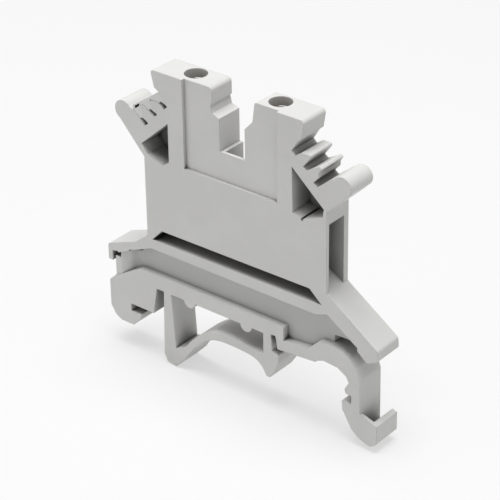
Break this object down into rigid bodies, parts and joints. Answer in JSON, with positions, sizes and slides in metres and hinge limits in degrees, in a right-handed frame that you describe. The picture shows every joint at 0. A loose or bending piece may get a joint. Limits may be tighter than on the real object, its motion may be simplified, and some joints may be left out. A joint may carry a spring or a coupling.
{
  "type": "screw terminal block",
  "caption": "Slim feed-through screw terminal block for a top-hat rail: moulded housing with spring foot and marker grooves, screw clamps joined by a current bar.",
  "frame": {"origin": "middle of the rail that the foot clips on, at mid width of the block, in the plane of the rail's two flanges", "axes": "+X along the block towards the wire entry over the springy jaw with the screwdriver lip, +Y along the rail towards the block's open side, +Z away from the rail towards the screw holes"},
  "size_m": [0.0425, 0.0042, 0.0411],
  "materials": {
    "housing_plastic": "satin moulded polyamide, light warm grey",
    "tag_plastic": "satin, off-white",
    "bar_metal": "tin plated, satin",
    "cage_steel": "zinc plated, satin",
    "screw_steel": "zinc plated, satin"
  },
  "bodies": {
    "block": {"housing": "housing_plastic", "current_bar": "bar_metal", "marker_tag": "tag_plastic"},
    "screw_left": {"clamp_screw_left": "screw_steel"},
    "screw_right": {"clamp_screw_right": "screw_steel"},
    "cage_left": {"clamp_cage_left": "cage_steel"},
    "cage_right": {"clamp_cage_right": "cage_steel"}
  },
  "joints": [
    {"name": "cage_lift_left", "type": "slide", "parent": "block", "child": "cage_left", "axis": [0, 0, 1], "range_m": [0, 0.0023]},
    {"name": "cage_lift_right", "type": "slide", "parent": "block", "child": "cage_right", "axis": [0, 0, 1], "range_m": [0, 0.0023]},
    {"name": "screw_turn_left", "type": "hinge", "parent": "block", "child": "screw_left", "pos_m": [-0.0076, 0.0004, 0.027], "axis": [0, 0, 1], "range_deg": [-1841, 0]},
    {"name": "screw_turn_right", "type": "hinge", "parent": "block", "child": "screw_right", "pos_m": [0.0052, 0.0004, 0.027], "axis": [0, 0, 1], "range_deg": [-1841, 0]}
  ],
  "couplings": [
    {"joint": "screw_turn_left", "follows": "cage_lift_left", "rad_per_m": -13963},
    {"joint": "screw_turn_right", "follows": "cage_lift_right", "rad_per_m": -13963}
  ]
}
